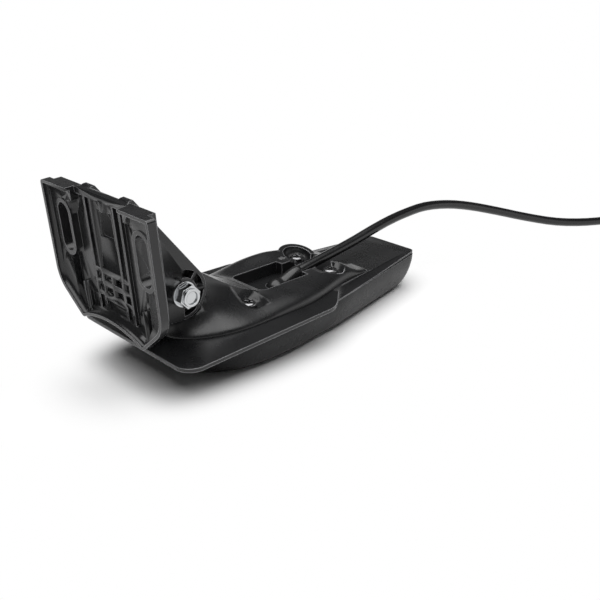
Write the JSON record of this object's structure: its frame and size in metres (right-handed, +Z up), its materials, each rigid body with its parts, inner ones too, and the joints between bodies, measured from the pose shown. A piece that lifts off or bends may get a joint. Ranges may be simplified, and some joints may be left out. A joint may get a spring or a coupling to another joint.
{
  "type": "sonar transducer",
  "caption": "Transom-mount sonar transducer: boat-shaped black housing with spray plate and screwed mount cover, slotted bracket tilting on a bolted pivot, and a coiled cable with a round plug.",
  "frame": {"origin": "on the floor under the flat hull bottom, at the middle of the length from the bracket's leading edge to the stern, on the centre plane", "axes": "+X from the bracket to the stern, +Y to the starboard side, +Z up"},
  "size_m": [0.5069, 0.0855, 0.0764],
  "materials": {
    "black_plastic": "black glass-filled plastic, fine satin moulded grain",
    "bracket_plastic": "black glass-filled nylon, satin moulded",
    "black_rubber": "black soft moulded rubber",
    "cable_jacket": "black satin cable jacket",
    "stainless": "bright stainless steel",
    "sleeve_steel": "drawn stainless tube",
    "washer_plastic": "toothless friction washer, dull black",
    "potting": "dark cast polyurethane",
    "piezo": "fired piezo ceramic",
    "backing": "cork and rubber sheet",
    "board": "green solder mask",
    "lead": "red wire insulation",
    "sensor": "black bead",
    "strap": "black woven hook strap",
    "pin_brass": "gold-washed contact"
  },
  "bodies": {
    "transducer": {"hull_housing": "black_plastic", "potting_block": "potting", "conical_element": "piezo", "scan_element": "piezo", "element_backings": "backing", "temperature_sensor": "sensor", "circuit_board": "board", "lead_wires": "lead", "deck_plate": "black_plastic", "mount_cover": "black_plastic", "cover_screws": "stainless", "pivot_sleeve": "sleeve_steel", "cable_gland": "black_rubber", "cable_run": "cable_jacket", "cable_coil": "cable_jacket", "coil_tie": "strap", "cable_tail": "cable_jacket", "plug_boot": "black_rubber", "plug_body": "black_plastic", "plug_ring": "black_plastic", "plug_insert": "washer_plastic", "plug_pins": "pin_brass"},
    "bracket": {"transom_bracket": "bracket_plastic", "friction_washers": "washer_plastic", "pivot_bolt": "stainless", "bolt_washer": "stainless", "nut_washer": "stainless", "pivot_nut": "stainless"}
  },
  "joints": [
    {"name": "bracket_tilt", "type": "hinge", "parent": "transducer", "child": "bracket", "pos_m": [-0.05503, 0, 0.0368], "axis": [0, 1, 0], "range_deg": [-6, 55]}
  ]
}
